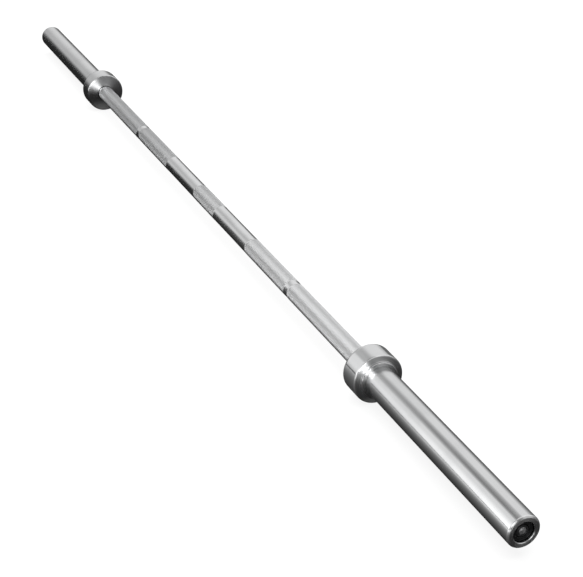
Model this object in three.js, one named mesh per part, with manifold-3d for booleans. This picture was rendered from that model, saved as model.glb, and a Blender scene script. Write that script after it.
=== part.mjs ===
// A seven foot barbell: one knurled steel shaft with a free-turning sleeve on each end.
// Lengths are in millimetres. The bar lies along X, Z is up, and the origin is its middle.
import * as THREE from 'three';
import { mergeVertices } from 'three/addons/utils/BufferGeometryUtils.js';
import Module from 'manifold-3d';

const wasm = await Module();
wasm.setup();

// The bar as a whole
const barLength = 2200;
const collarSpacing = 1310;
const facets = 32;

// Clearances: pressed or clamped pieces, turning surfaces, turning faces, and the cutters' overrun
const seatGap = 0.1;
const runningGap = 0.1;
const endGap = 0.3;
const overrun = 1;

// Shaft, with its knurled grips, plain bands and ring marks, measured from the middle
const shaftDiameter = 32;
const knurlHeight = 0.3;
const centreKnurlHalf = 53;
const plainBandEnd = 204;
const ringMarkPlace = 383;
const ringMarkWidth = 12;
const knurlStop = 4;
const journalDiameter = 25;
const journalChamfer = 1.5;
const boltHoleDepth = 42;

// Sleeve tube
const sleeveDiameter = 50;
const sleeveBore = 32;
const sleeveEndChamfer = 2.5;
const boreChamfer = 1;

// Collar ring, its web round the shaft and its stepped hub on the plate side
const collarDiameter = 82;
const collarWidth = 39;
const collarRound = 2.5;
const collarRoundSteps = 3;
const collarWeb = 7;
const webClearance = 0.7;
const hubDiameter = 62;
const hubHeight = 5;
const hubChamfer = 1.5;

// Dust seal and the groove that holds it in the web
const sealGrooveDepth = 2.5;
const sealGrooveWidth = 3;
const sealEdge = 0.5;

// Bushings
const bushFlangeDiameter = 46;
const bushFlangeThickness = 3;
const innerBushLength = 40;
const outerBushLength = 30;
const outerBushInset = 0.5;
const bushChamfer = 1;

// Thrust washer
const thrustDiameter = 44;
const thrustThickness = 2;
const thrustBoreGap = 0.3;

// End bolt, with its hexagon socket
const boltDiameter = 12;
const boltHoleGap = 0.3;
const boltLength = 38;
const boltTipChamfer = 1.5;
const headDiameter = 18;
const headHeight = 12;
const headRound = 1.5;
const socketAcrossFlats = 10;
const socketSides = 6;
const socketDepth = 6;

// Retaining cap and spring washer under the bolt's head, and the recess left outside both
const recessDepth = 4;
const capDiameter = 31;
const capFloor = 4;
const capBoreDiameter = 20;
const capChamfer = 0.8;
const springDiameter = 18.5;
const springThickness = 2.5;
const springSlit = 1.2;

// Spring pin that locks the collar to the tube
const pinDiameter = 6;
const pinWall = 1.2;
const pinLength = 20;
const pinSetBack = 0.6;
const pinHoleGap = 0.15;
const pinSides = 16;
const pinSlotShare = 0.06;
const pinBelowHorizon = THREE.MathUtils.degToRad(70);

// Radii
const shaftRadius = shaftDiameter / 2;
const knurlRadius = shaftRadius + knurlHeight;
const journalRadius = journalDiameter / 2;
const sleeveRadius = sleeveDiameter / 2;
const boreRadius = sleeveBore / 2;
const collarRadius = collarDiameter / 2;
const boltRadius = boltDiameter / 2;
const boltHoleRadius = boltRadius + boltHoleGap;
const webBoreRadius = shaftRadius + webClearance;
const bushRadius = boreRadius - seatGap;
const bushBoreRadius = journalRadius + runningGap;

// Stations along the right half of the bar, from the middle outwards
const barEnd = barLength / 2;
const collarStation = collarSpacing / 2;
const shoulderStation = collarStation + collarWeb;
const thrustStation = shoulderStation + endGap;
const flangeStation = thrustStation + thrustThickness + endGap;
const tubeStation = flangeStation + bushFlangeThickness + seatGap;
const tubeLength = barEnd - tubeStation;
const recessStation = barEnd - recessDepth;
const headStation = recessStation - headHeight;
const springStation = headStation - seatGap - springThickness;
const capStation = springStation - seatGap - capFloor;
const journalEnd = capStation - seatGap;
const outerBushStation = journalEnd - outerBushInset - outerBushLength;
const sealStation = collarStation + (collarWeb - sealGrooveWidth) / 2;
const pinStation = collarStation + collarWidth / 2;
const pinTipRadius = collarRadius - pinSetBack - pinLength;

// Finishes
const chrome = { color: 0xd9dadb, metalness: 1, roughness: 0.2 };
const knurledChrome = { color: 0xc4c5c6, metalness: 1, roughness: 0.42 };
const blackOxide = { color: 0x1a1a1b, metalness: 0.7, roughness: 0.45 };
const bronze = { color: 0xa5753d, metalness: 1, roughness: 0.4 };
const plainSteel = { color: 0x8f9091, metalness: 1, roughness: 0.35 };
const sealRubber = { color: 0x151515, metalness: 0, roughness: 0.8 };

function piece(name, geometry, finish, station) {
  const mesh = new THREE.Mesh(geometry, new THREE.MeshStandardMaterial(finish));
  mesh.name = name;
  mesh.position.x = station;
  return mesh;
}

// Turned shapes: an outline of [along, radius] points, spun round X with a flat side facing down.
// The outline runs towards +X on outer surfaces and back on inner ones.
function turned(outline) {
  const points = outline.map(([along, radius]) => new THREE.Vector2(radius, along));
  const geometry = new THREE.LatheGeometry(points, facets, Math.PI / facets);
  geometry.rotateZ(-Math.PI / 2);
  return geometry;
}

function turnedRing(outline) {
  return turned([...outline, outline[0]]);
}

// Points of a quarter round, from the angle given in quarter turns to the next one.
function quarterRound(centreAlong, centreRadius, radius, startQuarter, steps) {
  const points = [];
  for (let i = 0; i <= steps; i += 1) {
    const angle = (startQuarter - i / steps) * Math.PI / 2;
    points.push([centreAlong + radius * Math.cos(angle), centreRadius + radius * Math.sin(angle)]);
  }
  return points;
}

// A geometry as a closed solid: vertices merged and collapsed triangles left out.
function toSolid(geometry) {
  const bare = geometry.clone();
  bare.deleteAttribute('normal');
  bare.deleteAttribute('uv');
  const merged = mergeVertices(bare);
  const corners = [];
  for (let i = 0; i < merged.index.count; i += 3) {
    const [a, b, c] = [merged.index.getX(i), merged.index.getX(i + 1), merged.index.getX(i + 2)];
    if (a !== b && b !== c && c !== a) corners.push(a, b, c);
  }
  const vertProperties = merged.attributes.position.array;
  const triVerts = new Uint32Array(corners);
  return new wasm.Manifold(new wasm.Mesh({ numProp: 3, vertProperties, triVerts }));
}

function toGeometry(solid) {
  const mesh = solid.getMesh();
  const geometry = new THREE.BufferGeometry();
  geometry.setAttribute('position', new THREE.BufferAttribute(mesh.vertProperties, 3));
  geometry.setIndex(new THREE.BufferAttribute(mesh.triVerts, 1));
  geometry.computeVertexNormals();
  return geometry;
}

function cutFrom(geometry, cutter) {
  return toGeometry(toSolid(geometry).subtract(toSolid(cutter)));
}

// Shaft: drilled journals at both ends, the grip between the shoulders
function rightHalfOfGrip() {
  const markStart = ringMarkPlace - ringMarkWidth / 2;
  const markEnd = ringMarkPlace + ringMarkWidth / 2;
  const knurlEnd = collarStation - knurlStop;
  return [
    [centreKnurlHalf, knurlRadius],
    [centreKnurlHalf, shaftRadius],
    [plainBandEnd, shaftRadius],
    [plainBandEnd, knurlRadius],
    [markStart, knurlRadius],
    [markStart, shaftRadius],
    [markEnd, shaftRadius],
    [markEnd, knurlRadius],
    [knurlEnd, knurlRadius],
    [knurlEnd, shaftRadius],
    [shoulderStation, shaftRadius],
    [shoulderStation, journalRadius],
    [journalEnd - journalChamfer, journalRadius],
    [journalEnd, journalRadius - journalChamfer],
    [journalEnd, boltHoleRadius],
    [journalEnd - boltHoleDepth, boltHoleRadius],
    [journalEnd - boltHoleDepth, 0],
  ];
}

function shaftGeometry() {
  const right = rightHalfOfGrip();
  const left = right.map(([along, radius]) => [-along, radius]).reverse();
  return turned([...left, ...right]);
}

// Cutter for the pin's hole, from the blind end in the tube's wall out past the collar
function pinHole(station) {
  const radius = pinDiameter / 2 + pinHoleGap;
  const depth = pinTipRadius - pinHoleGap;
  const length = collarRadius + overrun - depth;
  const cutter = new THREE.CylinderGeometry(radius, radius, length, pinSides);
  cutter.translate(0, depth + length / 2, 0);
  cutter.rotateX(-pinBelowHorizon);
  cutter.translate(pinStation - station, 0, 0);
  return cutter;
}

// Sleeve tube: starts behind the inner bushing's flange and ends at the end of the bar
function tubeGeometry() {
  const body = turnedRing([
    [0, boreRadius],
    [0, sleeveRadius],
    [tubeLength - sleeveEndChamfer, sleeveRadius],
    [tubeLength, sleeveRadius - sleeveEndChamfer],
    [tubeLength, boreRadius + boreChamfer],
    [tubeLength - boreChamfer, boreRadius],
  ]);
  return cutFrom(body, pinHole(tubeStation));
}

// Collar: a ring pressed on the tube, closed round the shaft by a web that holds the seal
function collarGeometry() {
  const grooveStart = sealStation - collarStation;
  const grooveEnd = grooveStart + sealGrooveWidth;
  const grooveRadius = webBoreRadius + sealGrooveDepth;
  const seatRadius = sleeveRadius + seatGap;
  const hubRadius = hubDiameter / 2;
  const hubEnd = collarWidth + hubHeight;
  const roundRadius = collarRadius - collarRound;
  const farRound = collarWidth - collarRound;
  const body = turnedRing([
    [0, webBoreRadius],
    ...quarterRound(collarRound, roundRadius, collarRound, 2, collarRoundSteps),
    ...quarterRound(farRound, roundRadius, collarRound, 1, collarRoundSteps),
    [collarWidth, hubRadius],
    [hubEnd - hubChamfer, hubRadius],
    [hubEnd, hubRadius - hubChamfer],
    [hubEnd, seatRadius],
    [collarWeb, seatRadius],
    [collarWeb, webBoreRadius],
    [grooveEnd, webBoreRadius],
    [grooveEnd, grooveRadius],
    [grooveStart, grooveRadius],
    [grooveStart, webBoreRadius],
  ]);
  return cutFrom(body, pinHole(collarStation));
}

// Dust seal: a rubber ring in the web's groove, running on the shaft
function sealGeometry() {
  const width = sealGrooveWidth - 2 * seatGap;
  const outer = webBoreRadius + sealGrooveDepth - seatGap;
  const inner = shaftRadius + runningGap;
  return turnedRing([
    [0, inner + sealEdge],
    [0, outer],
    [width, outer],
    [width, inner + sealEdge],
    [width - sealEdge, inner],
    [sealEdge, inner],
  ]);
}

// Inner bushing: its flange stands between the thrust washer and the end of the tube
function innerBushingGeometry() {
  return turnedRing([
    [0, bushBoreRadius],
    [0, bushFlangeDiameter / 2],
    [bushFlangeThickness, bushFlangeDiameter / 2],
    [bushFlangeThickness, bushRadius],
    [innerBushLength - bushChamfer, bushRadius],
    [innerBushLength, bushRadius - bushChamfer],
    [innerBushLength, bushBoreRadius],
  ]);
}

// Outer bushing: a plain bush pressed into the tube near its open end
function outerBushingGeometry() {
  return turnedRing([
    [0, bushBoreRadius],
    [0, bushRadius - bushChamfer],
    [bushChamfer, bushRadius],
    [outerBushLength, bushRadius],
    [outerBushLength, bushBoreRadius],
  ]);
}

function plainRing(innerRadius, outerRadius, thickness) {
  return turnedRing([
    [0, innerRadius],
    [0, outerRadius],
    [thickness, outerRadius],
    [thickness, innerRadius],
  ]);
}

function thrustWasherGeometry() {
  return plainRing(journalRadius + thrustBoreGap, thrustDiameter / 2, thrustThickness);
}

// Retaining cap: wider than the journal, so the outer bushing can't pass it, with a well for the head
function retainingCapGeometry() {
  const outer = capDiameter / 2;
  const inner = capBoreDiameter / 2;
  const length = recessStation - capStation;
  return turnedRing([
    [0, boltHoleRadius],
    [0, outer],
    [length - capChamfer, outer],
    [length, outer - capChamfer],
    [length, inner + capChamfer],
    [length - capChamfer, inner],
    [capFloor, inner],
    [capFloor, boltHoleRadius],
  ]);
}

// Spring washer: a ring slit through at one side
function springWasherGeometry() {
  const outer = springDiameter / 2;
  const ring = plainRing(boltHoleRadius, outer, springThickness);
  const slit = new THREE.BoxGeometry(springThickness + 2 * overrun, springSlit, outer + overrun);
  slit.translate(springThickness / 2, 0, (outer + overrun) / 2);
  return cutFrom(ring, slit);
}

// End bolt: a cap screw, its head outwards, with a hexagon socket
function boltGeometry() {
  const headRadius = headDiameter / 2;
  const body = turned([
    [-boltLength, 0],
    [-boltLength, boltRadius - boltTipChamfer],
    [boltTipChamfer - boltLength, boltRadius],
    [0, boltRadius],
    [0, headRadius],
    [headHeight - headRound, headRadius],
    [headHeight, headRadius - headRound],
    [headHeight, 0],
  ]);
  const socketRadius = socketAcrossFlats / (2 * Math.cos(Math.PI / socketSides));
  const length = socketDepth + overrun;
  const socket = new THREE.CylinderGeometry(socketRadius, socketRadius, length, socketSides);
  socket.rotateZ(-Math.PI / 2);
  socket.translate(headHeight - socketDepth + length / 2, 0, 0);
  return cutFrom(body, socket);
}

// Collar pin: sheet steel rolled into a slotted tube, driven through the collar into the tube
function pinGeometry() {
  const outer = pinDiameter / 2;
  const start = pinSlotShare * 2 * Math.PI;
  const end = 2 * Math.PI - start;
  const section = new THREE.Shape();
  section.absarc(0, 0, outer, start, end, false);
  section.absarc(0, 0, outer - pinWall, end, start, true);
  section.closePath();
  const geometry = new THREE.ExtrudeGeometry(section, {
    depth: pinLength,
    bevelEnabled: false,
    curveSegments: pinSides,
  });
  geometry.translate(0, 0, pinTipRadius);
  geometry.rotateX(-(Math.PI / 2 + pinBelowHorizon));
  return geometry;
}

// One end of the bar, built for the right side
function endPieces(side) {
  const end = new THREE.Group();
  end.add(
    piece(`${side}_dust_seal`, sealGeometry(), sealRubber, sealStation + seatGap),
    piece(`${side}_sleeve_collar`, collarGeometry(), chrome, collarStation),
    piece(`${side}_collar_pin`, pinGeometry(), plainSteel, pinStation),
    piece(`${side}_thrust_washer`, thrustWasherGeometry(), plainSteel, thrustStation),
    piece(`${side}_inner_bushing`, innerBushingGeometry(), bronze, flangeStation),
    piece(`${side}_sleeve_tube`, tubeGeometry(), chrome, tubeStation),
    piece(`${side}_outer_bushing`, outerBushingGeometry(), bronze, outerBushStation),
    piece(`${side}_retaining_cap`, retainingCapGeometry(), blackOxide, capStation),
    piece(`${side}_spring_washer`, springWasherGeometry(), blackOxide, springStation),
    piece(`${side}_end_bolt`, boltGeometry(), blackOxide, headStation),
  );
  return end;
}

const barbell = new THREE.Group();
barbell.add(piece('shaft', shaftGeometry(), knurledChrome, 0));
barbell.add(endPieces('right'));
const leftEnd = endPieces('left');
leftEnd.rotation.z = Math.PI;
barbell.add(leftEnd);

export default barbell;
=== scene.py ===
"""A seven foot barbell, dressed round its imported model.

Sizes in the sections are in millimetres, as on a drawing. Meshes are in metres, X along the bar.
The studio's sizes are in metres.
"""

import math

import bpy
import numpy as np
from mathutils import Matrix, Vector


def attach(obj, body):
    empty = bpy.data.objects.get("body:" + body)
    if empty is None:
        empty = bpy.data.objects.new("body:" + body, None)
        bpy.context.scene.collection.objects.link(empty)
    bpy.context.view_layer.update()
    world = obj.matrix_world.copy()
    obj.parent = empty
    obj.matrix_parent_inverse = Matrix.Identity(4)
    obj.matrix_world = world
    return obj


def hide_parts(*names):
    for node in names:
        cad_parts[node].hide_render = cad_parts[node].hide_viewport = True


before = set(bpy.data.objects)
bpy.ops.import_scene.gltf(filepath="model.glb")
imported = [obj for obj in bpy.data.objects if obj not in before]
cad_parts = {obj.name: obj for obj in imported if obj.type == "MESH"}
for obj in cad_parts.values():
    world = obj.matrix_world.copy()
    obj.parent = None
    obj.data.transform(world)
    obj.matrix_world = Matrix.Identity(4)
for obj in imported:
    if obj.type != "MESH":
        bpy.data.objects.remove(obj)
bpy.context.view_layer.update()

# Camera: a long lens near the right end of the bar, looking down along it.
# Its place was worked out from the photograph's outline of the bar.
camera_place = Vector((2.313, -0.869, 1.133))
camera_heading = math.radians(24.14)
camera_pitch = math.radians(28.08)
focal_length = 88.37
sensor_width = 36.0
far_clip = 100

look_along = Vector(
    (
        -math.cos(camera_heading) * math.cos(camera_pitch),
        math.sin(camera_heading) * math.cos(camera_pitch),
        -math.sin(camera_pitch),
    )
)
camera = bpy.data.objects.new("camera", bpy.data.cameras.new("camera"))
bpy.context.scene.collection.objects.link(camera)
camera.location = camera_place
camera.rotation_euler = look_along.to_track_quat("-Z", "Y").to_euler()
camera.data.lens = focal_length
camera.data.sensor_width = sensor_width
camera.data.clip_end = far_clip
bpy.context.scene.camera = camera
bpy.context.scene.view_settings.view_transform = "Standard"


# Studio: a white floor in a white room, lit softly and evenly from above.
# Chrome shows only what it mirrors, so some pieces stand here that are seen in the metal alone:
# a dome with softboxes and a dark screen low beyond each end, and a card on the floor whose glow
# is a painted reflection of the floor's shade round the bar.
floor_level = -0.041
floor_size = 60
floor_white = 0.97
floor_shadow_share = 0.13
room_light = 0.5


def add_node(tree, kind, inputs=None, **settings):
    """Adds one shader node. An input is a number, a colour, or the output that feeds it."""
    node = tree.nodes.new(kind)
    for key, value in settings.items():
        setattr(node, key, value)
    for key, value in (inputs or {}).items():
        if isinstance(value, bpy.types.NodeSocket):
            tree.links.new(value, node.inputs[key])
        else:
            node.inputs[key].default_value = value
    return node


def maths(tree, operation, *values):
    """One Math node on its two or three values."""
    return add_node(
        tree, "ShaderNodeMath", dict(enumerate(values)), operation=operation
    ).outputs[0]


def eased_range(tree, value, low, high, start=0.0, end=1.0):
    """start below low, end above high, and a smooth step between."""
    inputs = {"Value": value, "From Min": low, "From Max": high, "To Min": start, "To Max": end}
    return add_node(
        tree, "ShaderNodeMapRange", inputs, interpolation_type="SMOOTHSTEP"
    ).outputs["Result"]


def emptied_tree(owner):
    """Turns nodes on for a material or world and empties its tree."""
    owner.use_nodes = True
    owner.node_tree.nodes.clear()
    return owner.node_tree


def seen_directly_or_mirrored(tree):
    """1 for rays from the camera and for rays that metal or glass sends on, otherwise 0."""
    path = add_node(tree, "ShaderNodeLightPath")
    seen = maths(tree, "MAXIMUM", path.outputs["Is Camera Ray"], path.outputs["Is Glossy Ray"])
    return maths(tree, "MAXIMUM", seen, path.outputs["Is Transmission Ray"])


world = bpy.data.worlds.new("white_room")
bpy.context.scene.world = world
tree = emptied_tree(world)
white = seen_directly_or_mirrored(tree)
level = maths(tree, "MULTIPLY_ADD", white, 1.0 - room_light, room_light)
background = add_node(tree, "ShaderNodeBackground", {"Color": (1, 1, 1, 1), "Strength": level})
add_node(tree, "ShaderNodeOutputWorld", {"Surface": background.outputs[0]})


def studio_piece(name, points, faces):
    """A mesh that belongs to the studio, with an empty material of its own."""
    mesh = bpy.data.meshes.new(name)
    mesh.from_pydata(points.tolist(), [], faces)
    made = bpy.data.objects.new(name, mesh)
    bpy.context.scene.collection.objects.link(made)
    made.data.materials.append(bpy.data.materials.new(name))
    return made


def flat_sheet(half_length, half_width, height):
    """The four corners of a rectangle round the origin's upright line."""
    corners = np.array([(-1, -1), (1, -1), (1, 1), (-1, 1)], float) * (half_length, half_width)
    return np.column_stack([corners, np.full(4, height)])


floor_corners = flat_sheet(floor_size / 2, floor_size / 2, floor_level)
floor = studio_piece("white_floor", floor_corners, [(0, 1, 2, 3)])
tree = emptied_tree(floor.active_material)
shaded = add_node(
    tree, "ShaderNodeBsdfDiffuse", {"Color": (floor_white, floor_white, floor_white, 1)}
)
glow = add_node(tree, "ShaderNodeEmission", {"Strength": 1.0})
white_share = maths(tree, "MULTIPLY", seen_directly_or_mirrored(tree), 1 - floor_shadow_share)
mixed = add_node(
    tree, "ShaderNodeMixShader", {0: white_share, 1: shaded.outputs[0], 2: glow.outputs[0]}
)
add_node(tree, "ShaderNodeOutputMaterial", {"Surface": mixed.outputs[0]})


def seen_in_metal_only(made):
    """Hides a studio piece from every ray but those that metal sends on."""
    made.visible_camera = False
    made.visible_diffuse = False
    made.visible_shadow = False
    made.visible_transmission = False
    made.active_material.cycles.emission_sampling = "NONE"


# Dome round the room: softboxes over a grey ground, and dark flags, whose strength is below 0. Both
# ends of the bar see the same ones, folded over at the middle. The camera's end is darker, apart
# from two softboxes of its own: one beside the camera and one on the far side.
# Each is azimuth from the bar's left end towards the near side, elevation, the angle within which
# it is full, the angle at which it ends, all in degrees, and its strength.
dome_radius = 15
dome_sides = 48
dome_bands = 24
dome_grey = 0.58
softboxes = {
    "overhead": (0, 90, 19, 45, 0.5),
    "over the near side": (60.8, 27.9, 27.9, 33.9, 0.39),
    "at the near side": (98.3, 10.8, 24, 59.4, 1.24),
    "at the far side": (-35.2, 32.4, 7, 44.3, 0.34),
    "gap under overhead": (0, 60, 8, 22.5, -0.52),
    "dark beyond the far side": (-62, 0, 6, 26, -0.3),
    "square to the near side": (104, 34, 24, 52, -1.05),
    "square to the far side": (-104, 34, 8, 42, 0.6),
}
camera_end_softboxes = {
    "beside the camera": (133, 33, 12, 25, 1.5),
    "behind the right end": (-135, 24, 6, 36, 0.45),
}
# The camera's end is dimmed by this share where a direction's X is past its reach. Overhead, where
# Z lies between the two limits, the dimming fades out.
camera_end_dimming = 0.7
camera_end_reach = 0.4
dimming_fades, dimming_ends = 0.6, 0.95
# The screen darkens the dome within these angles of each end of the bar. It is deepest at the level
# of the bar and has faded out where Z is the screen's height.
screen_core, screen_edge = 36, 44
screen_height = 0.236
screen_depth = 0.87


def seen_from_bar(azimuth, elevation):
    """Direction from the bar's middle: (-cos a cos e, -sin a cos e, sin e)."""
    a, e = math.radians(azimuth), math.radians(elevation)
    return Vector((-math.cos(a) * math.cos(e), -math.sin(a) * math.cos(e), math.sin(e)))


def facing_share(tree, direction, azimuth, elevation, core, edge):
    """1 within core degrees of that direction, 0 outside edge degrees."""
    middle = seen_from_bar(azimuth, elevation)
    facing = add_node(
        tree, "ShaderNodeVectorMath", {0: direction, 1: middle}, operation="DOT_PRODUCT"
    ).outputs["Value"]
    return eased_range(tree, facing, math.cos(math.radians(edge)), math.cos(math.radians(core)))


turns = np.linspace(0, 2 * math.pi, dome_sides + 1)[:-1]
rises = np.linspace(-math.pi / 2, math.pi / 2, dome_bands + 1)[1:-1]
dome_points = np.stack(
    [
        np.outer(np.cos(rises), np.cos(turns)),
        np.outer(np.cos(rises), np.sin(turns)),
        np.outer(np.sin(rises), np.ones(dome_sides)),
    ],
    axis=-1,
).reshape(-1, 3)
row, column = np.meshgrid(np.arange(len(rises) - 1), np.arange(dome_sides), indexing="ij")
lower = row * dome_sides
upper = lower + dome_sides
following = (column + 1) % dome_sides
dome_faces = np.stack(
    [lower + column, lower + following, upper + following, upper + column], axis=-1
).reshape(-1, 4)
foot = list(range(dome_sides))[::-1]
top = list(range((len(rises) - 1) * dome_sides, len(rises) * dome_sides))
dome_faces = dome_faces.tolist() + [foot, top]
dome = studio_piece("softbox_dome", dome_points * dome_radius, dome_faces)
seen_in_metal_only(dome)
tree = emptied_tree(dome.active_material)
place = add_node(tree, "ShaderNodeTexCoord").outputs["Object"]
outward = add_node(
    tree, "ShaderNodeVectorMath", {0: place}, operation="NORMALIZE"
).outputs["Vector"]
along, across, up = add_node(tree, "ShaderNodeSeparateXYZ", {"Vector": outward}).outputs
one_end = maths(tree, "MULTIPLY", maths(tree, "ABSOLUTE", along), -1.0)
folded = add_node(tree, "ShaderNodeCombineXYZ", {"X": one_end, "Y": across, "Z": up}).outputs[0]
dome_level = dome_grey
for *shape, strength in softboxes.values():
    share = facing_share(tree, folded, *shape)
    dome_level = maths(tree, "MULTIPLY_ADD", share, strength, dome_level)
dimmed = maths(
    tree,
    "MULTIPLY",
    eased_range(tree, along, 0.0, camera_end_reach, 0.0, camera_end_dimming),
    eased_range(tree, up, dimming_fades, dimming_ends, 1.0, 0.0),
)
dome_level = maths(tree, "MULTIPLY", dome_level, maths(tree, "SUBTRACT", 1.0, dimmed))
for *shape, strength in camera_end_softboxes.values():
    share = facing_share(tree, outward, *shape)
    dome_level = maths(tree, "MULTIPLY_ADD", share, strength, dome_level)
screened = maths(
    tree,
    "MULTIPLY",
    facing_share(tree, folded, 0, 0, screen_core, screen_edge),
    eased_range(tree, up, 0.0, screen_height, screen_depth, 0.0),
)
dome_level = maths(tree, "MULTIPLY", dome_level, maths(tree, "SUBTRACT", 1.0, screened))
dome_glow = add_node(
    tree, "ShaderNodeEmission", {"Strength": maths(tree, "MAXIMUM", dome_level, 0.0)}
)
add_node(tree, "ShaderNodeOutputMaterial", {"Surface": dome_glow.outputs[0]})

# Card on the floor, seen in the metal alone: a painted reflection of the floor's shade round the
# bar.
# It is darkest beside the bar, and paler away from it and towards its right end. On each side it
# grows paler with a power of the distance from the bar.
card_half_length = 12
card_half_width = 9
card_lift = 0.0005
card_start, card_end = -0.51, 1.37
card_shade_beside_bar = (0.02, 0.035)
card_gap = 0.02
card_near_side = (0.043, 1.45)
card_near_width, card_near_power = 0.426, 1.15
card_far_side = (0.12, 0.2)
card_far_width, card_far_power = 0.2, 1.9
card_corners = flat_sheet(card_half_length, card_half_width, floor_level + card_lift)
card = studio_piece("shade_reflection_card", card_corners, [(0, 1, 2, 3)])
seen_in_metal_only(card)
tree = emptied_tree(card.active_material)
place = add_node(tree, "ShaderNodeTexCoord").outputs["Object"]
card_x, card_y, _ = add_node(tree, "ShaderNodeSeparateXYZ", {"Vector": place}).outputs
# Painted shade beside the bar, as the chrome mirrors it.
card_level = eased_range(tree, card_x, card_start, card_end, *card_shade_beside_bar)
for away, width, power, strengths in (
    (maths(tree, "MULTIPLY", card_y, -1.0), card_near_width, card_near_power, card_near_side),
    (card_y, card_far_width, card_far_power, card_far_side),
):
    distance = maths(tree, "DIVIDE", maths(tree, "SUBTRACT", away, card_gap), width)
    distance = maths(tree, "MINIMUM", maths(tree, "MAXIMUM", distance, 0.0), 1.0)
    card_level = maths(
        tree,
        "MULTIPLY_ADD",
        maths(tree, "POWER", distance, power),
        eased_range(tree, card_x, card_start, card_end, *strengths),
        card_level,
    )
card_glow = add_node(tree, "ShaderNodeEmission", {"Strength": card_level})
add_node(tree, "ShaderNodeOutputMaterial", {"Surface": card_glow.outputs[0]})

# Lamps: a wide one overhead, which metal doesn't mirror, and a round one low beyond the bar's right
# end, flagged off from everything but the collars and the screws. Turned faces that stand square to
# the bar draw its light out into bright wedges.
top_lamp_power = 240
top_lamp_size = 5
top_lamp_height = 3.2
end_lamp_power = 155
end_lamp_size = 2.2
end_lamp_distance = 6
end_lamp_direction = (165, 9)


def hidden_lamp(name, place, size, power):
    """An area lamp that shines from its place towards the bar's middle, hidden from the camera."""
    made = bpy.data.objects.new(name, bpy.data.lights.new(name, "AREA"))
    bpy.context.scene.collection.objects.link(made)
    made.location = place
    made.rotation_euler = (-place).to_track_quat("-Z", "Y").to_euler()
    made.data.size = size
    made.data.energy = power
    made.visible_camera = False
    return made


top_place = Vector((0, 0, top_lamp_height))
top_lamp = hidden_lamp("top_lamp", top_place, top_lamp_size, top_lamp_power)
top_lamp.visible_glossy = False
end_place = end_lamp_distance * seen_from_bar(*end_lamp_direction)
end_lamp = hidden_lamp("end_lamp", end_place, end_lamp_size, end_lamp_power)
end_lamp.data.shape = "DISK"
inside_flags = bpy.data.collections.new("inside_flags")
end_lamp.light_linking.receiver_collection = inside_flags


# Shaft: one bar of spring steel, turned to its journals, knurled and hard chromed, with a hole for
# a screw in each end. A smooth ring mark breaks each knurled grip, and a plain band lies on either
# side of a short knurled patch in the middle.
shaft_radius = 16.0
knurl_height = 0.33
knurls_round = 64
knurl_length = 2.9
knurled_zones = [(-53, 53), (204, 377), (389, 651)]
shoulder = 662.0
journal_radius = 12.5
journal_end = 1077.2
journal_chamfer = 1.5
screw_hole_radius = 6.3
screw_hole_depth = 42.0
screw_hole_tip = 3.6
corner_ease = 0.25
ease_steps = np.array([0.0, 0.25, 0.5, 0.75, 1.0])
hold_off = 0.7
pole_radius = 0.05
map_margin = 1.2
sharp_angle = math.radians(40)
# Chrome: cells a metre of its tool rings, scratches and haze, the noise at which a scratch or haze
# starts and is full, how much rougher, higher or deeper each one makes the skin, and the colour's
# share that haze leaves. The knurling's colour goes from its left to its right value within this
# reach of the middle: painted shade towards the left end and painted light towards the right.
ring_fineness = 2600.0
scratch_fineness = (14, 1500, 1500)
scratch_range = (0.6, 0.74)
haze_fineness = 16.0
haze_range = (0.4, 0.72)
haze_rough, scratch_rough, ring_rough = 0.05, 0.06, 0.03
ring_height = 0.00004
scratch_height = -0.00002
haze_shade = 0.94
face_sharpness = 3.0
grip_shade_reach = 0.6


def eased_outline(corners, ease, closed):
    """Rounds an outline of [along, radius] corners.

    Each corner gives way to a short curve from ease before it to ease behind it: its point at
    share t is (1-t)^2 times the start, 2t(1-t) times the corner and t^2 times the end. One more
    point stands outside each end of the curve, so that the straight parts between stay straight
    when shaded.
    """
    corners = np.array(corners, float)
    before = np.roll(corners, 1, axis=0) - corners
    behind = np.roll(corners, -1, axis=0) - corners
    before /= np.linalg.norm(before, axis=1)[:, None]
    behind /= np.linalg.norm(behind, axis=1)[:, None]
    ease = np.broadcast_to(np.asarray(ease, float), len(corners))[:, None, None]
    t = ease_steps[None, :, None]
    start = corners[:, None] + ease * before[:, None]
    end = corners[:, None] + ease * behind[:, None]
    curve = (1 - t) ** 2 * start + 2 * t * (1 - t) * corners[:, None] + t**2 * end
    lead = corners[:, None] + ease * (1 + hold_off) * before[:, None]
    trail = corners[:, None] + ease * (1 + hold_off) * behind[:, None]
    rounded = np.concatenate([lead, curve, trail], axis=1)
    if closed:
        return rounded.reshape(-1, 2)
    return np.concatenate([corners[:1], rounded[1:-1].reshape(-1, 2), corners[-1:]])


def grid_corners(rows, columns):
    """Row and column of each quad's four corners, for a grid that closes round its columns."""
    row, column = np.meshgrid(np.arange(rows - 1), np.arange(columns), indexing="ij")
    row, column = row.ravel()[:, None], column.ravel()[:, None]
    return row + np.array([[0, 0, 1, 1]]), column + np.array([[0, 1, 1, 0]])


def spun_points(stations, radii, side, angles):
    """Points at station x and radius r turned by angle a about X: (x, r cos a, r sin a), in metres.

    side is 1 for the right end and -1 for the left, which is the right one turned half round.
    """
    stations = np.broadcast_to(stations, radii.shape)
    points = np.stack(
        [side * stations, side * radii * np.cos(angles), radii * np.sin(angles)], axis=-1
    )
    return points.reshape(-1, 3) / 1000


def round_angles(count):
    """That many equal steps round a full turn, in radians."""
    return np.arange(count) * 2 * math.pi / count


def pole_rings(rows, columns):
    """The first and the last row of a grid, as the two faces that close its ends."""
    rings = np.array([np.arange(columns)[::-1], np.arange(columns)])
    rings[1] += (rows - 1) * columns
    return rings


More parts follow.
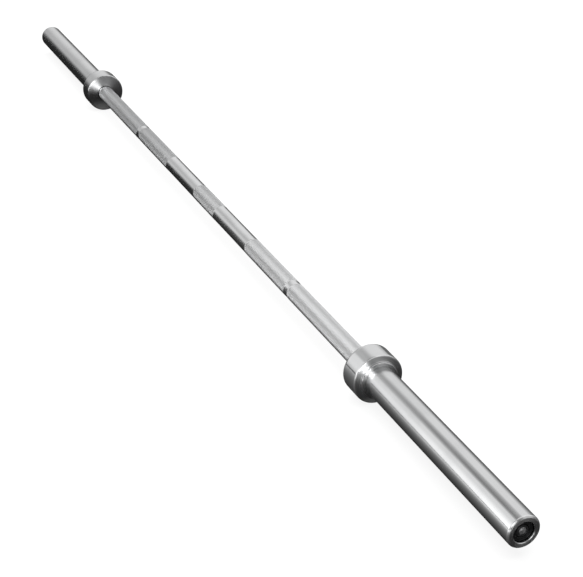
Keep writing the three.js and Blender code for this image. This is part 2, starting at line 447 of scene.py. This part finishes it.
def finished_piece(name, points, face_sets, uv_sets, smooth, material, body, nodes):
    """Makes the mesh of one piece, gives it its material and sets it on its CAD body.

    face_sets are arrays of vertex numbers, one row a face, and uv_sets the place of each corner in
    the piece's own map: round the piece in u, along it in v. The attribute end_face is how squarely
    a face looks along the bar: the size of its normal's x.
    """
    mesh = bpy.data.meshes.new(name)
    corners = np.concatenate([faces.ravel() for faces in face_sets])
    counts = np.concatenate([np.full(len(faces), faces.shape[1]) for faces in face_sets])
    mesh.vertices.add(len(points))
    mesh.vertices.foreach_set("co", np.asarray(points, np.float32).ravel())
    mesh.loops.add(len(corners))
    mesh.loops.foreach_set("vertex_index", corners.astype(np.int32))
    mesh.polygons.add(len(counts))
    mesh.polygons.foreach_set("loop_start", (np.cumsum(counts) - counts).astype(np.int32))
    mesh.update(calc_edges=True)
    is_smooth = np.broadcast_to(smooth, len(counts)).astype(np.int32)
    mesh.polygons.foreach_set("use_smooth", is_smooth)
    uv_map = mesh.uv_layers.new(name="turned")
    uv_map.data.foreach_set("uv", np.concatenate(uv_sets).astype(np.float32).ravel())
    facing = np.empty(3 * len(counts), np.float32)
    mesh.polygons.foreach_get("normal", facing)
    end_face = mesh.attributes.new("end_face", "FLOAT", "FACE")
    end_face.data.foreach_set("value", np.abs(facing[::3]))
    mesh.set_sharp_from_angle(angle=sharp_angle)
    mesh.validate()
    made = bpy.data.objects.new(name, mesh)
    bpy.context.scene.collection.objects.link(made)
    made.data.materials.append(material)
    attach(made, body)
    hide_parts(*nodes)
    return made


def corner_uv(rows, columns, row_places, column_count):
    """u is the share of a turn, v the distance along the outline, in metres."""
    return np.stack([columns / column_count, row_places[rows] / 1000], axis=-1).reshape(-1, 2)


def noise(tree, place, scale, detail):
    """Noise from 0 to 1, of that many cells a metre."""
    return add_node(
        tree, "ShaderNodeTexNoise", {"Vector": place, "Scale": scale, "Detail": detail}
    ).outputs[0]


def attribute(tree, name):
    """The value of one of the mesh's attributes."""
    return add_node(tree, "ShaderNodeAttribute", attribute_name=name).outputs["Fac"]


def blend(tree, share, first, second):
    """The first colour where share is 0, the second where it is 1. A plain colour is a tuple."""
    first, second = ((*c, 1) if isinstance(c, tuple) else c for c in (first, second))
    return add_node(
        tree, "ShaderNodeMix", {"Factor": share, 6: first, 7: second}, data_type="RGBA"
    ).outputs[2]


def turned_chrome(name, colour, gloss, face_gloss, lines, seed, drawn_out=0.8, grip_shade_and_gloss=None):
    """Chrome over turned steel: fine rings from the tool, hair scratches along the bar where
    plates slide, and a faint haze from hands that is rougher than the rest.

    Rings lie round the axis at every station and radius, so faces square to the bar shine in
    wedges, the narrower the more drawn_out the shine is.
    grip_shade_and_gloss is the knurling's colour at the left and at the right end of the shaft, and
    its gloss. The change of colour along the bar is painted shade at the left and painted light at
    the right.
    """
    paint = bpy.data.materials.new(name)
    tree = emptied_tree(paint)
    place = add_node(tree, "ShaderNodeTexCoord").outputs["Object"]
    along, across, up = add_node(tree, "ShaderNodeSeparateXYZ", {"Vector": place}).outputs
    off_axis = maths(
        tree, "SQRT", maths(tree, "MULTIPLY_ADD", across, across, maths(tree, "MULTIPLY", up, up))
    )
    end_face = maths(tree, "POWER", attribute(tree, "end_face"), face_sharpness)
    ring_place = add_node(
        tree, "ShaderNodeCombineXYZ", {"X": along, "Y": off_axis, "Z": seed}
    ).outputs[0]
    rings = noise(tree, ring_place, ring_fineness, 3.0)
    scratch_place = add_node(
        tree,
        "ShaderNodeMapping",
        {"Vector": place, "Location": (0, seed, seed), "Scale": scratch_fineness},
    ).outputs[0]
    scratched = eased_range(tree, noise(tree, scratch_place, 1.0, 2.0), *scratch_range)
    hazy = eased_range(tree, noise(tree, place, haze_fineness, 4.0), *haze_range)
    rough = maths(tree, "MULTIPLY_ADD", end_face, face_gloss - gloss, gloss)
    for share, rougher in ((hazy, haze_rough), (scratched, scratch_rough), (rings, ring_rough)):
        rough = maths(tree, "MULTIPLY_ADD", share, rougher, rough)
    ring_bump = add_node(
        tree, "ShaderNodeBump", {"Height": rings, "Strength": lines, "Distance": ring_height}
    ).outputs[0]
    bump = add_node(
        tree,
        "ShaderNodeBump",
        {
            "Height": scratched,
            "Strength": lines,
            "Distance": scratch_height,
            "Normal": ring_bump,
        },
    ).outputs[0]
    tint = blend(tree, hazy, colour, tuple(c * haze_shade for c in colour))
    if grip_shade_and_gloss:
        left, right, grip_gloss = grip_shade_and_gloss
        knurled = attribute(tree, "knurled")
        # The knurling darkens towards the left end and pales towards the right: painted shade and
        # light.
        grip_shade_share = eased_range(tree, along, -grip_shade_reach, grip_shade_reach)
        tint = blend(tree, knurled, tint, blend(tree, grip_shade_share, left, right))
        rough = maths(tree, "MULTIPLY_ADD", knurled, grip_gloss - gloss, rough)
    round_it = add_node(tree, "ShaderNodeTangent", direction_type="UV_MAP", uv_map="turned")
    shader = add_node(
        tree,
        "ShaderNodeBsdfPrincipled",
        {
            "Base Color": tint,
            "Metallic": 1.0,
            "Roughness": rough,
            "Anisotropic": drawn_out,
            "Anisotropic Rotation": 0.25,
            "Normal": bump,
            "Tangent": round_it.outputs[0],
        },
    )
    add_node(tree, "ShaderNodeOutputMaterial", {"Surface": shader.outputs[0]})
    return paint


def knurl_rows(start, end):
    """Stations of one knurled zone, and 1 where a diamond's point stands, 0 in its grooves.

    Rows are half a diamond apart, columns half a diamond round: points and grooves alternate like
    the squares of a chessboard, and the two end rows lie at the foot.
    """
    count = int(round((end - start) / (knurl_length / 2)))
    stations = np.linspace(start, end, count + 1)
    row, column = np.meshgrid(np.arange(count + 1), np.arange(2 * knurls_round), indexing="ij")
    raised = ((row + column) % 2).astype(float)
    raised[[0, -1]] = 0
    return stations, raised


columns = 2 * knurls_round
end_outline = eased_outline(
    [
        [knurled_zones[-1][1], shaft_radius],
        [shoulder, shaft_radius],
        [shoulder, journal_radius],
        [journal_end - journal_chamfer, journal_radius],
        [journal_end, journal_radius - journal_chamfer],
        [journal_end, screw_hole_radius],
        [journal_end - screw_hole_depth, screw_hole_radius],
        [journal_end - screw_hole_depth - screw_hole_tip, pole_radius],
    ],
    corner_ease,
    closed=False,
)
zones = [(-end, -start) for start, end in knurled_zones[:0:-1]] + knurled_zones
shaft_stations = [-end_outline[:0:-1, 0]]
shaft_radii = [np.repeat(end_outline[:0:-1, 1, None], columns, axis=1)]
knurled = [np.zeros(len(end_outline) - 1, bool)]
for start, end in zones:
    stations, raised = knurl_rows(start, end)
    shaft_stations.append(stations)
    shaft_radii.append(shaft_radius + knurl_height * raised)
    knurled.append(np.r_[np.ones(len(stations) - 1, bool), False])
shaft_stations.append(end_outline[1:, 0])
shaft_radii.append(np.repeat(end_outline[1:, 1, None], columns, axis=1))
knurled.append(np.zeros(len(end_outline) - 1, bool))
shaft_stations = np.concatenate(shaft_stations)
shaft_radii = np.concatenate(shaft_radii)
knurled = np.concatenate(knurled)

rows, cols = grid_corners(len(shaft_stations), columns)
in_knurl = knurled[rows[:, 0]]
# Each quad of a knurled zone is split between its two low corners, so rows count from its start.
all_rows = np.arange(len(shaft_stations))
first_rows = np.flatnonzero(np.diff(np.r_[False, knurled].astype(int)) == 1)
zone = np.clip(np.searchsorted(first_rows, all_rows, "right") - 1, 0, None)
row_in_zone = all_rows - first_rows[zone]
even = (row_in_zone[rows[:, 0]] + cols[:, 0]) % 2 == 0
plain_quads = ~in_knurl
split_one = in_knurl & even
split_other = in_knurl & ~even
corner_picks = [
    (plain_quads, [0, 1, 2, 3]),
    (split_one, [0, 1, 2]),
    (split_one, [0, 2, 3]),
    (split_other, [0, 1, 3]),
    (split_other, [1, 2, 3]),
]
# The map starts beyond the left end, so v is above 0 all along the shaft.
outline_place = shaft_stations + map_margin * journal_end
face_sets, uv_sets, smooth_sets = [], [], []
for picked, corner in corner_picks:
    r, c = rows[picked][:, corner], cols[picked][:, corner]
    face_sets.append(r * columns + c % columns)
    uv_sets.append(corner_uv(r, c, outline_place, columns))
    smooth_sets.append(np.full(len(r), picked is plain_quads))
face_sets.append(pole_rings(len(shaft_stations), columns))
uv_sets.append(np.zeros((2 * columns, 2)))
smooth_sets.append(np.ones(2, bool))

shaft_chrome = turned_chrome(
    "shaft_chrome",
    (0.755, 0.76, 0.765),
    gloss=0.12,
    face_gloss=0.3,
    lines=0.25,
    seed=3.0,
    # Knurling 0.55 at the left end and 0.83 at the right: painted shade and painted light along the
    # bar.
    grip_shade_and_gloss=((0.55, 0.555, 0.56), (0.83, 0.835, 0.84), 0.33),
)
shaft = finished_piece(
    "shaft_bar",
    spun_points(shaft_stations[:, None], shaft_radii, 1, round_angles(columns)),
    face_sets,
    uv_sets,
    np.concatenate(smooth_sets),
    shaft_chrome,
    "shaft",
    ["shaft"],
)
knurled_faces = shaft.data.attributes.new("knurled", "FLOAT", "FACE")
knurled_faces.data.foreach_set("value", 1.0 - np.concatenate(smooth_sets))


# Thrust washers: a ground steel ring on each journal, between the shaft's shoulder and the sleeve's
# bushing. It is stamped, ground flat on both faces and left bare.
thrust_start = 662.3
thrust_thickness = 2.0
thrust_bore = 12.8
thrust_radius = 22.0
thrust_ease = 0.25
patch_fineness = 240.0
grain_range = (0.3, 0.7)
grain_strength = 0.4
plain_specular = 0.2
ends = [("right", 1), ("left", -1)]


def turned_ring(name, outline, ease, side, material, body, node, sides=160):
    """Spins a closed outline of [along, radius] corners round X and closes it on itself."""
    outline = eased_outline(outline, ease, closed=True)
    outline = np.concatenate([outline, outline[:1]])
    radii = np.repeat(outline[:-1, 1, None], sides, axis=1)
    points = spun_points(outline[:-1, :1], radii, side, round_angles(sides))
    rows, cols = grid_corners(len(outline), sides)
    run = np.r_[0, np.cumsum(np.linalg.norm(np.diff(outline, axis=0), axis=1))]
    faces = (rows % (len(outline) - 1)) * sides + cols % sides
    return finished_piece(
        name,
        points,
        [faces],
        [corner_uv(rows, cols, run, sides)],
        True,
        material,
        body,
        [node],
    )


def grained_material(
    name, colour, worn_colour, worn, metal, rough, grain, stretch, depth, worn_and_glint_colour=None
):
    """A plain finish: fine grain in its roughness and height, and paler or darker worn patches.

    worn and rough are each a lowest and a highest value. stretch draws the grain out along an axis.
    worn_and_glint_colour is the bare metal that shows where a piece's attribute "worn_and_glint" is
    above 0: wear, and in a screw's socket also a painted glint.
    """
    paint = bpy.data.materials.new(name)
    tree = emptied_tree(paint)
    place = add_node(tree, "ShaderNodeTexCoord").outputs["Object"]
    drawn_out = add_node(tree, "ShaderNodeMapping", {"Vector": place, "Scale": stretch}).outputs[0]
    grains = noise(tree, drawn_out, grain, 3.0)
    patches = eased_range(tree, noise(tree, place, patch_fineness, 4.0), *worn)
    tint = blend(tree, patches, colour, worn_colour)
    bump = add_node(
        tree, "ShaderNodeBump", {"Height": grains, "Strength": grain_strength, "Distance": depth}
    ).outputs[0]
    shader = add_node(
        tree,
        "ShaderNodeBsdfPrincipled",
        {
            "Base Color": tint,
            "Metallic": metal,
            "Roughness": eased_range(tree, grains, *grain_range, *rough),
            "Specular IOR Level": plain_specular,
            "Normal": bump,
        },
    )
    # Bare metal where the attribute is above 0: wear, and a painted glint in the screws' sockets.
    if worn_and_glint_colour:
        worn_and_glint = attribute(tree, "worn_and_glint")
        tree.links.new(blend(tree, worn_and_glint, tint, worn_and_glint_colour), shader.inputs["Base Color"])
        tree.links.new(maths(tree, "MAXIMUM", worn_and_glint, metal), shader.inputs["Metallic"])
    add_node(tree, "ShaderNodeOutputMaterial", {"Surface": shader.outputs[0]})
    return paint


washer_steel = grained_material(
    "washer_steel",
    colour=(0.45, 0.45, 0.455),
    worn_colour=(0.33, 0.325, 0.32),
    worn=(0.52, 0.7),
    metal=1.0,
    rough=(0.22, 0.4),
    grain=900.0,
    stretch=(1, 1, 0.06),
    depth=0.00003,
)
for end, side in ends:
    turned_ring(
        f"{end}_thrust_ring",
        [
            [thrust_start, thrust_bore],
            [thrust_start, thrust_radius],
            [thrust_start + thrust_thickness, thrust_radius],
            [thrust_start + thrust_thickness, thrust_bore],
        ],
        thrust_ease,
        side,
        washer_steel,
        "shaft",
        f"{end}_thrust_washer",
        sides=96,
    )

# Dust seals: a rubber ring in a groove of each collar's web, which wipes the shaft.
# It is moulded, matt and black, and shows only as a thin dark line round the shaft.
seal_start = 657.1
seal_width = 2.8
seal_outer = 19.1
seal_inner = 16.1
seal_edge = 0.5
seal_ease = 0.12
seal_rubber = grained_material(
    "seal_rubber",
    colour=(0.008, 0.008, 0.008),
    worn_colour=(0.03, 0.029, 0.028),
    worn=(0.5, 0.75),
    metal=0.0,
    rough=(0.55, 0.8),
    grain=2200.0,
    stretch=(1, 1, 1),
    depth=0.0001,
)
for end, side in ends:
    turned_ring(
        f"{end}_seal_ring",
        [
            [seal_start, seal_inner + seal_edge],
            [seal_start, seal_outer],
            [seal_start + seal_width, seal_outer],
            [seal_start + seal_width, seal_inner + seal_edge],
            [seal_start + seal_width - seal_edge, seal_inner],
            [seal_start + seal_edge, seal_inner],
        ],
        seal_ease,
        side,
        seal_rubber,
        f"{end}_sleeve",
        f"{end}_dust_seal",
    )

# Sleeve collars: a broad ring turned from bar, pressed on the sleeve and chromed. Its web closes
# round the shaft, and a low stepped hub on the other side is what the first plate stands against.
collar_start = 655.0
collar_end = 694.0
collar_radius = 41.0
collar_round = 2.5
collar_web_end = 662.0
web_bore = 16.7
groove_start, groove_end, groove_radius = 657.0, 660.0, 19.2
seat_radius = 25.1
hub_radius = 31.0
hub_end = 699.0
hub_chamfer = 1.5
collar_chrome = turned_chrome(
    "collar_chrome",
    (0.7, 0.705, 0.71),
    gloss=0.06,
    face_gloss=0.38,
    lines=0.2,
    seed=11.0,
    drawn_out=0.96,
)
collar_outline = [
    [collar_start, web_bore],
    [collar_start, collar_radius],
    [collar_end, collar_radius],
    [collar_end, hub_radius],
    [hub_end - hub_chamfer, hub_radius],
    [hub_end, hub_radius - hub_chamfer],
    [hub_end, seat_radius],
    [collar_web_end, seat_radius],
    [collar_web_end, web_bore],
    [groove_end, web_bore],
    [groove_end, groove_radius],
    [groove_start, groove_radius],
    [groove_start, web_bore],
]
rim_ease = [0.3, collar_round, collar_round]
hub_ease = [1.2, 0.9, 0.9, 0.3]
web_ease = [0.2, 0.2, 0.15, 0.15, 0.15, 0.15]
collars = {}
for end, side in ends:
    collars[end] = turned_ring(
        f"{end}_collar_ring",
        collar_outline,
        rim_ease + hub_ease + web_ease,
        side,
        collar_chrome,
        f"{end}_sleeve",
        f"{end}_sleeve_collar",
        sides=192,
    )
    inside_flags.objects.link(collars[end])

# Sleeve tubes: thick steel tube, turned, chamfered at its open end and chromed.
# It starts behind the inner bushing's flange and carries the plates.
tube_start = 667.7
tube_end = 1100.0
tube_radius = 25.0
tube_bore = 16.0
tube_chamfer = 2.5
bore_chamfer = 1.0
tube_outline = [
    [tube_start, tube_bore],
    [tube_start, tube_radius],
    [tube_end - tube_chamfer, tube_radius],
    [tube_end, tube_radius - tube_chamfer],
    [tube_end, tube_bore + bore_chamfer],
    [tube_end - bore_chamfer, tube_bore],
]
tube_ease = [0.3, 0.3, 1.2, 0.9, 0.4, 0.4]
sleeve_chrome = turned_chrome(
    "sleeve_chrome", (0.7, 0.705, 0.71), gloss=0.11, face_gloss=0.36, lines=0.25, seed=17.0
)
tubes = {}
for end, side in ends:
    tubes[end] = turned_ring(
        f"{end}_sleeve_barrel",
        tube_outline,
        tube_ease,
        side,
        sleeve_chrome,
        f"{end}_sleeve",
        f"{end}_sleeve_tube",
        sides=160,
    )

# Collar pins: spring steel rolled into a slotted tube and driven from below through the collar
# into the wall of the sleeve tube, so that the collar can't slide or turn on it. Phosphated grey.
pin_station = 674.5
pin_radius = 3.0
pin_wall = 1.2
pin_start = 20.4
pin_end = 40.4
pin_chamfer = 0.5
pin_gap_half = 0.8
pin_ease = 0.12
pin_hole_radius = 3.15
pin_hole_start = 20.25
pin_hole_end = 42.0
pin_hole_sides = 48
pin_below_horizon = math.radians(70)
pin_down = (0.0, math.cos(pin_below_horizon), -math.sin(pin_below_horizon))
pin_steel = grained_material(
    "pin_steel",
    colour=(0.28, 0.28, 0.285),
    worn_colour=(0.17, 0.17, 0.172),
    worn=(0.45, 0.65),
    metal=1.0,
    rough=(0.32, 0.5),
    grain=3000.0,
    stretch=(1, 1, 1),
    depth=0.00004,
)


def carried_over(place, local, side):
    """Local points (a, b, c) become origin + a along + b out + c across, in metres.

    across stands square to the other two. The left end's points are the right end's turned half
    round the upright: (x, y, z) becomes (-x, -y, z).
    """
    along, out, origin = place
    points = np.asarray(origin) + local @ np.array([along, out, np.cross(along, out)])
    return points * (side, side, 1) / 1000


def split_ring(name, outline, ease, gap_half, place, side, material, body, node, sides=72):
    """Spins a closed outline of [along, radius] corners into a C, and closes its two ends.

    Both sides of the gap are parallel, so a point at radius r starts at angle asin(gap_half / r).
    place is the spin's axis, the direction of the gap and the origin.
    """
    outline = eased_outline(outline, ease, closed=True)
    count = len(outline)
    start = np.arcsin(gap_half / outline[:, 1, None])
    angles = start + np.linspace(0, 1, sides + 1) * (2 * math.pi - 2 * start)
    radii = outline[:, 1, None]
    stations = np.broadcast_to(outline[:, :1], angles.shape)
    local = np.stack([stations, radii * np.cos(angles), radii * np.sin(angles)], axis=-1)
    points = carried_over(place, local.reshape(-1, 3), side)
    rows, cols = grid_corners(count + 1, sides)
    faces = (rows % count) * (sides + 1) + cols
    closing = np.array([np.arange(count), np.arange(count)[::-1]]) * (sides + 1)
    closing[1] += sides
    run = np.r_[0, np.cumsum(np.linalg.norm(np.diff(outline, axis=0, append=outline[:1]), axis=1))]
    return finished_piece(
        name,
        points,
        [faces, closing],
        [corner_uv(rows, cols, run, sides), np.zeros((2 * count, 2))],
        True,
        material,
        body,
        [node],
    )


def drilled(made, place, side):
    """Drills the pin's hole into a piece, from its blind end out past the collar."""
    turn = round_angles(pin_hole_sides)
    circle = pin_hole_radius * np.column_stack([np.cos(turn), np.sin(turn)])
    local = np.concatenate(
        [np.insert(circle, 0, depth, axis=1) for depth in (pin_hole_start, pin_hole_end)]
    )
    points = carried_over(place, local, side)
    inner = np.arange(pin_hole_sides)
    outer = inner + pin_hole_sides
    walls = np.column_stack([inner, np.roll(inner, -1), np.roll(outer, -1), outer])
    caps = [inner[::-1].tolist(), outer.tolist()]
    mesh = bpy.data.meshes.new("drill")
    mesh.from_pydata(points.tolist(), [], walls.tolist() + caps)
    drill = bpy.data.objects.new("drill", mesh)
    bpy.context.scene.collection.objects.link(drill)
    cut = made.modifiers.new("pin_hole", "BOOLEAN")
    cut.operation = "DIFFERENCE"
    cut.solver = "EXACT"
    cut.object = drill
    seen = made.evaluated_get(bpy.context.evaluated_depsgraph_get())
    shape = bpy.data.meshes.new_from_object(seen)
    made.modifiers.clear()
    made.data = shape
    shape.set_sharp_from_angle(angle=sharp_angle)
    bpy.data.objects.remove(drill)


pin_place = (pin_down, (1.0, 0.0, 0.0), (pin_station, 0.0, 0.0))
for end, side in ends:
    drilled(collars[end], pin_place, side)
    drilled(tubes[end], pin_place, side)
    split_ring(
        f"{end}_roll_pin",
        [
            [pin_start, pin_radius - pin_wall],
            [pin_start, pin_radius - pin_chamfer],
            [pin_start + 2 * pin_chamfer, pin_radius],
            [pin_end - 2 * pin_chamfer, pin_radius],
            [pin_end, pin_radius - pin_chamfer],
            [pin_end, pin_radius - pin_wall],
        ],
        pin_ease,
        pin_gap_half,
        pin_place,
        side,
        pin_steel,
        f"{end}_sleeve",
        f"{end}_collar_pin",
    )

# Inner bushings: sintered bronze, soaked in oil, pressed into the collar end of each sleeve tube.
# The flange stands out between the tube and the thrust washer.
flange_start = 664.6
flange_end = 667.6
flange_radius = 23.0
bush_radius = 15.9
bush_bore = 12.6
bush_chamfer = 1.0
inner_bush_end = 704.6
bush_ease = 0.25
bushing_bronze = grained_material(
    "bushing_bronze",
    colour=(0.38, 0.18, 0.045),
    worn_colour=(0.2, 0.09, 0.025),
    worn=(0.45, 0.62),
    metal=1.0,
    rough=(0.28, 0.5),
    grain=5000.0,
    stretch=(1, 1, 1),
    depth=0.00006,
)
for end, side in ends:
    turned_ring(
        f"{end}_flanged_bush",
        [
            [flange_start, bush_bore],
            [flange_start, flange_radius],
            [flange_end, flange_radius],
            [flange_end, bush_radius],
            [inner_bush_end - bush_chamfer, bush_radius],
            [inner_bush_end, bush_radius - bush_chamfer],
            [inner_bush_end, bush_bore],
        ],
        bush_ease,
        side,
        bushing_bronze,
        f"{end}_sleeve",
        f"{end}_inner_bushing",
        sides=96,
    )

# Outer bushings: plain rings of the same bronze, pressed in from the sleeve's open end.
# The chamfered end goes in first.
outer_bush_start = 1046.7
outer_bush_end = 1076.7
for end, side in ends:
    turned_ring(
        f"{end}_plain_bush",
        [
            [outer_bush_start, bush_bore],
            [outer_bush_start, bush_radius - bush_chamfer],
            [outer_bush_start + bush_chamfer, bush_radius],
            [outer_bush_end, bush_radius],
            [outer_bush_end, bush_bore],
        ],
        bush_ease,
        side,
        bushing_bronze,
        f"{end}_sleeve",
        f"{end}_outer_bushing",
        sides=96,
    )

# Retaining caps: a thick turned disc screwed to the end of the shaft, wider than the journal, so
# that the sleeve can't slide off. Its well takes the screw's head. Steel, oiled black oxide.
cap_start = 1077.3
cap_floor = 1081.3
cap_end = 1096.0
cap_radius = 15.5
cap_bore = 10.0
cap_hole = 6.3
cap_chamfer = 0.8
cap_ease = 0.2
black_oxide = grained_material(
    "black_oxide",
    colour=(0.006, 0.006, 0.0065),
    worn_colour=(0.014, 0.014, 0.015),
    worn=(0.5, 0.7),
    metal=0.0,
    rough=(0.24, 0.4),
    grain=2600.0,
    stretch=(1, 1, 1),
    depth=0.00004,
    # Bare metal of worn spots, and of the painted glint in the screws' sockets.
    worn_and_glint_colour=(0.7, 0.7, 0.705),
)
for end, side in ends:
    turned_ring(
        f"{end}_cap",
        [
            [cap_start, cap_hole],
            [cap_start, cap_radius],
            [cap_end - cap_chamfer, cap_radius],
            [cap_end, cap_radius - cap_chamfer],
            [cap_end, cap_bore + cap_chamfer],
            [cap_end - cap_chamfer, cap_bore],
            [cap_floor, cap_bore],
            [cap_floor, cap_hole],
        ],
        cap_ease,
        side,
        black_oxide,
        "shaft",
        f"{end}_retaining_cap",
        sides=128,
    )

# Spring washers: square steel wire coiled once round, flattened under the screw's head, with a slit
# whose ends bite and keep the screw from working loose. Black oxide.
spring_start = 1081.4
spring_end = 1083.9
spring_bore = 6.3
spring_radius = 9.25
spring_gap_half = 0.6
spring_ease = 0.2
spring_place = ((1.0, 0.0, 0.0), (0.0, 0.0, 1.0), (0.0, 0.0, 0.0))
for end, side in ends:
    split_ring(
        f"{end}_lock_washer",
        [
            [spring_start, spring_bore],
            [spring_start, spring_radius],
            [spring_end, spring_radius],
            [spring_end, spring_bore],
        ],
        spring_ease,
        spring_gap_half,
        spring_place,
        side,
        black_oxide,
        "shaft",
        f"{end}_spring_washer",
    )

# End bolts: forged cap screws with a rolled thread, a straight knurl round the head and a hexagon
# socket, broached over a drilled hole. Oiled black oxide.
bolt_tip = 1046.0
bolt_radius = 6.0
bolt_tip_chamfer = 1.5
thread_pitch = 1.75
thread_depth = 1.05
thread_end = 1082.5
thread_lead_in = 0.05
thread_run_out = 0.4
rows_per_pitch = 8
head_start = 1084.0
head_end = 1096.0
head_radius = 9.0
head_round = 1.5
head_ease = [0.2, 0.4, head_round, 0.1]
head_knurl = (1086.0, 1093.5)
head_knurl_depth = 0.3
head_knurl_run_in = 0.3
socket_half_flats = 5.0
socket_entry = 6.2
socket_floor = 1090.0
drill_radius = 4.5
drill_tip = 1088.2
# Bare metal in the socket's last rows: its mouth, walls, floor and drill cone. The walls' share is
# wear from the key. The floor and the cone are a painted glint in the middle of the socket.
socket_worn_and_glint = (0.0, 0.2, 0.9, 1.0)
bolt_columns = 96


def bolt_rows():
    """Stations and radii of a bolt's skin from its tip to the bottom of its socket, row by row.

    The thread's depth is a zigzag of (station / pitch - angle / turn), no wider than the tip's
    cone. A hexagon's radius at angle a off the middle of a flat is half its width over cos a. The
    socket's mouth is where its flats meet a cone of 45 degrees.
    """
    turn = np.arange(bolt_columns) / bolt_columns
    round_row = np.ones(bolt_columns)
    thread_start = bolt_tip + thread_lead_in
    lead = np.arange(thread_start, thread_end, thread_pitch / rows_per_pitch)[:, None]
    zigzag = np.abs(2 * ((lead / thread_pitch - turn) % 1) - 1)
    cone = bolt_radius - bolt_tip_chamfer + lead - bolt_tip
    thread = np.minimum(bolt_radius - thread_depth * zigzag, cone)
    shank_start = [thread_end + thread_run_out, bolt_radius - thread_depth / 2]
    shell = eased_outline(
        [
            [head_start, bolt_radius],
            [head_start, head_radius],
            [head_end, head_radius],
            [head_end, socket_entry],
        ],
        head_ease,
        closed=False,
    )
    low, high = head_knurl
    knurl_ends = [low, low + head_knurl_run_in, high - head_knurl_run_in, high]
    tooth = head_radius - head_knurl_depth * (np.arange(bolt_columns) % 2)
    under = shell[shell[:, 0] < low]
    over = shell[shell[:, 0] > high]
    off_flat = (turn * 2 * math.pi) % (math.pi / 3) - math.pi / 6
    hexagon = socket_half_flats / np.cos(off_flat)

    def circles(table):
        """Rows that are plain circles, each a station and a radius."""
        table = np.array(table)
        return table[:, :1] * round_row, table[:, 1:] * round_row

    parts = [
        circles([[bolt_tip, pole_radius], [bolt_tip, bolt_radius - bolt_tip_chamfer]]),
        (lead * round_row, thread),
        circles([shank_start, [head_start, bolt_radius]]),
        circles(under[1:]),
        (
            np.array(knurl_ends)[:, None] * round_row,
            np.array([head_radius * round_row, tooth, tooth, head_radius * round_row]),
        ),
        circles(over),
        (head_end - (socket_entry - hexagon)[None], hexagon[None]),
        (socket_floor * round_row[None], hexagon[None]),
        circles([[socket_floor, drill_radius], [drill_tip, pole_radius]]),
    ]
    return (np.concatenate(part) for part in zip(*parts))


bolt_stations, bolt_radii = bolt_rows()
rows, cols = grid_corners(len(bolt_stations), bolt_columns)
faces = rows * bolt_columns + cols % bolt_columns
poles = pole_rings(len(bolt_stations), bolt_columns)
steps = np.hypot(np.diff(bolt_stations[:, 0]), np.diff(bolt_radii[:, 0]))
run = np.r_[0, np.cumsum(steps)]
worn_and_glint = np.zeros(len(bolt_stations) - 1)
worn_and_glint[-len(socket_worn_and_glint) :] = socket_worn_and_glint
for end, side in ends:
    screw = finished_piece(
        f"{end}_cap_screw",
        spun_points(bolt_stations, bolt_radii, side, round_angles(bolt_columns)),
        [faces, poles],
        [corner_uv(rows, cols, run, bolt_columns), np.zeros((2 * bolt_columns, 2))],
        True,
        black_oxide,
        "shaft",
        [f"{end}_end_bolt"],
    )
    inside_flags.objects.link(screw)
    # The socket's bare metal: wear on its walls and a painted glint on its floor and cone.
    worn_and_glint_faces = screw.data.attributes.new("worn_and_glint", "FLOAT", "FACE")
    worn_and_glint_faces.data.foreach_set("value", np.r_[np.repeat(worn_and_glint, bolt_columns), 0, 0])
